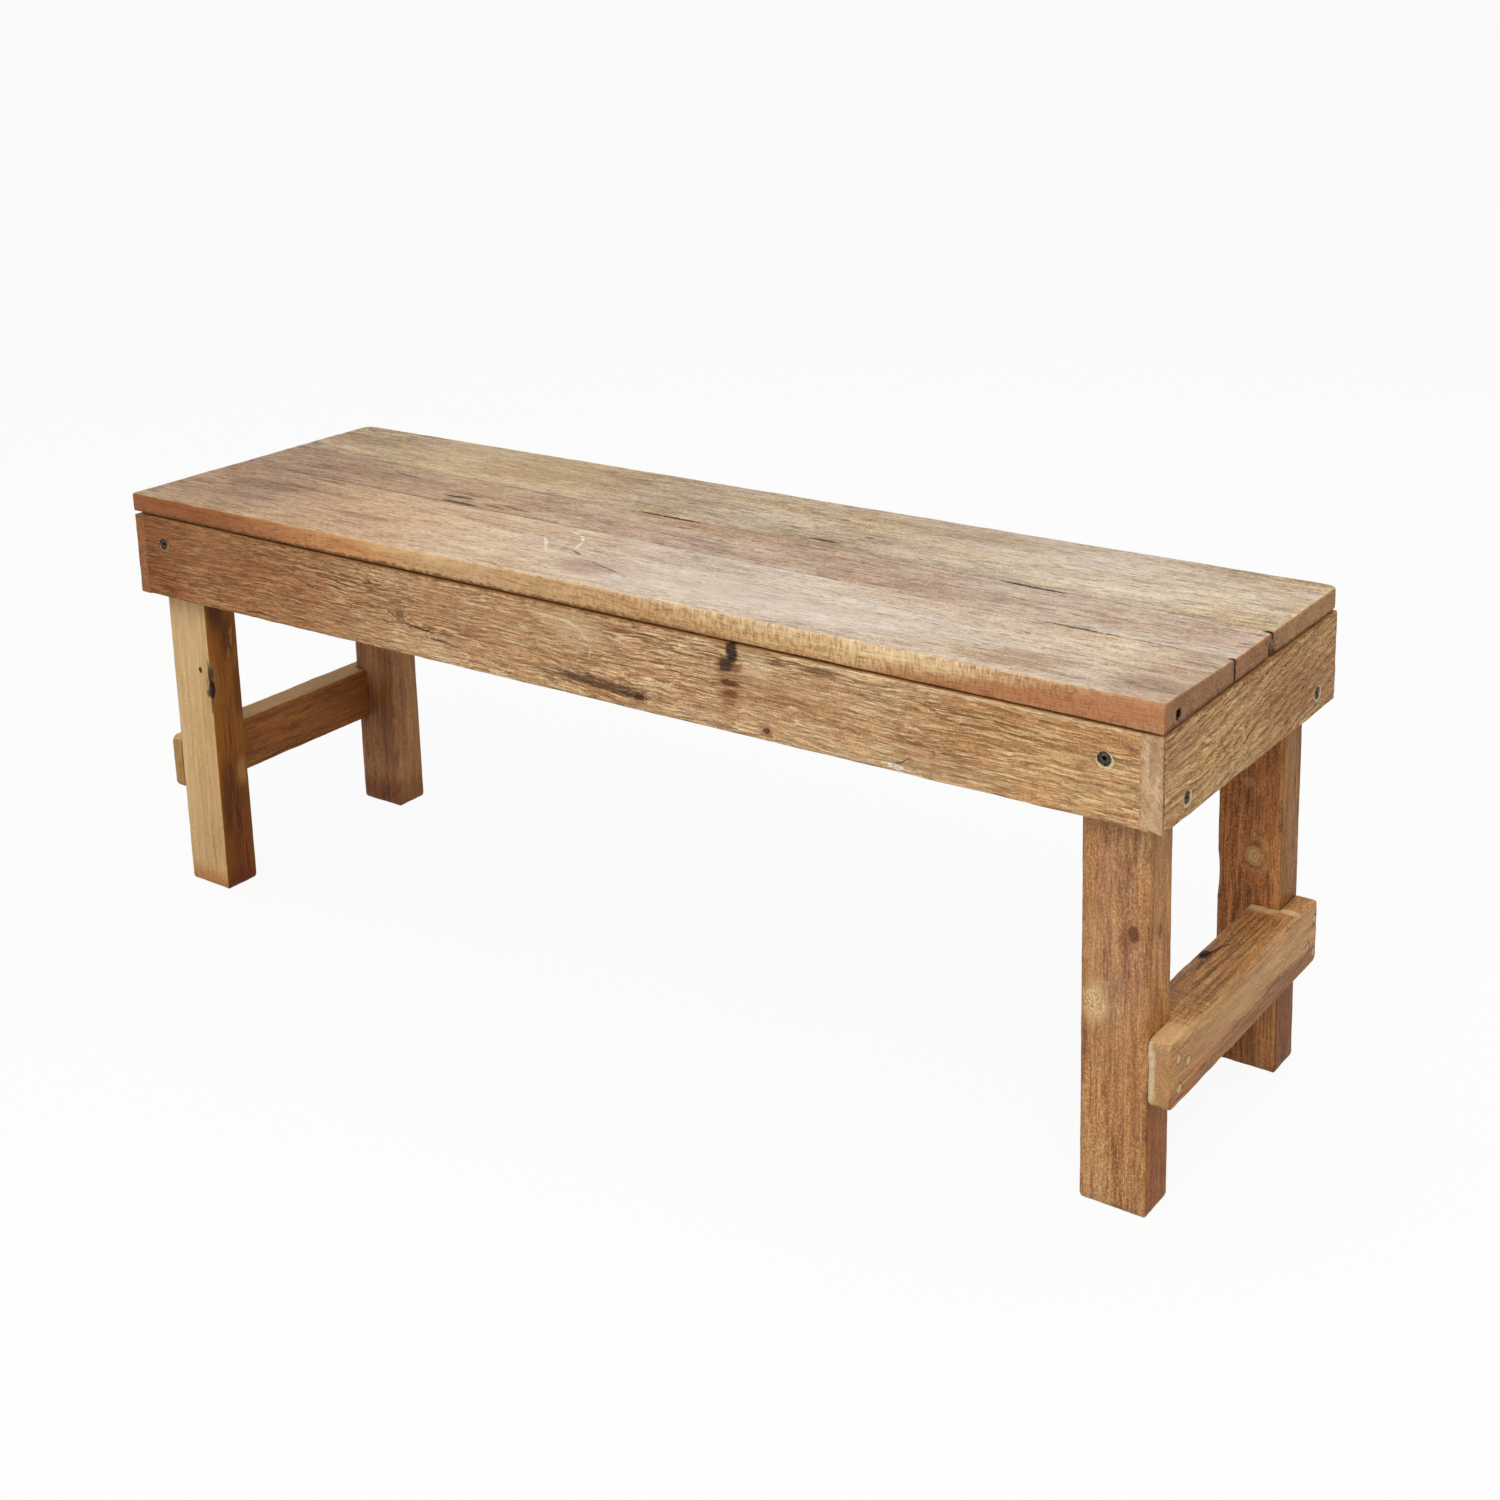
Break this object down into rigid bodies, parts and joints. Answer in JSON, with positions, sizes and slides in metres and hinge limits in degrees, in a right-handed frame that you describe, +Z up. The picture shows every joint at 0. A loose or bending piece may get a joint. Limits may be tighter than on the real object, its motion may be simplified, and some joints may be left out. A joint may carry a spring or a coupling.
{
  "type": "plank bench",
  "caption": "Low backless plank bench in reclaimed wood: flush apron box, square corner legs and half-lapped end stretchers.",
  "frame": {"origin": "on the floor, under the middle of the bench's bounding box", "axes": "+X along the length (to the right seen from the front), the front faces -Y, +Z up"},
  "size_m": [1.2, 0.35, 0.4539],
  "materials": {
    "seat_wood": "worn, with a thin grey wash",
    "apron_wood": "wire-brushed and oiled",
    "pale_leg_wood": "oiled",
    "leg_wood": "oiled",
    "stretcher_wood": "oiled",
    "batten_wood": "sawn",
    "plug_wood": "sanded flush",
    "dark_steel": "blackened"
  },
  "bodies": {
    "root": {"seat_plank_front": "seat_wood", "seat_plank_middle": "seat_wood", "seat_plank_back": "seat_wood", "front_apron": "apron_wood", "back_apron": "apron_wood", "left_end_apron": "apron_wood", "right_end_apron": "apron_wood", "front_left_leg": "pale_leg_wood", "back_left_leg": "leg_wood", "front_right_leg": "leg_wood", "back_right_leg": "leg_wood", "left_stretcher": "stretcher_wood", "right_stretcher": "stretcher_wood", "left_seat_batten": "batten_wood", "centre_seat_batten": "batten_wood", "right_seat_batten": "batten_wood", "apron_screws": "dark_steel", "stretcher_screws": "dark_steel", "stretcher_plugs": "plug_wood", "batten_screws": "dark_steel", "seat_screws": "dark_steel"}
  },
  "joints": []
}
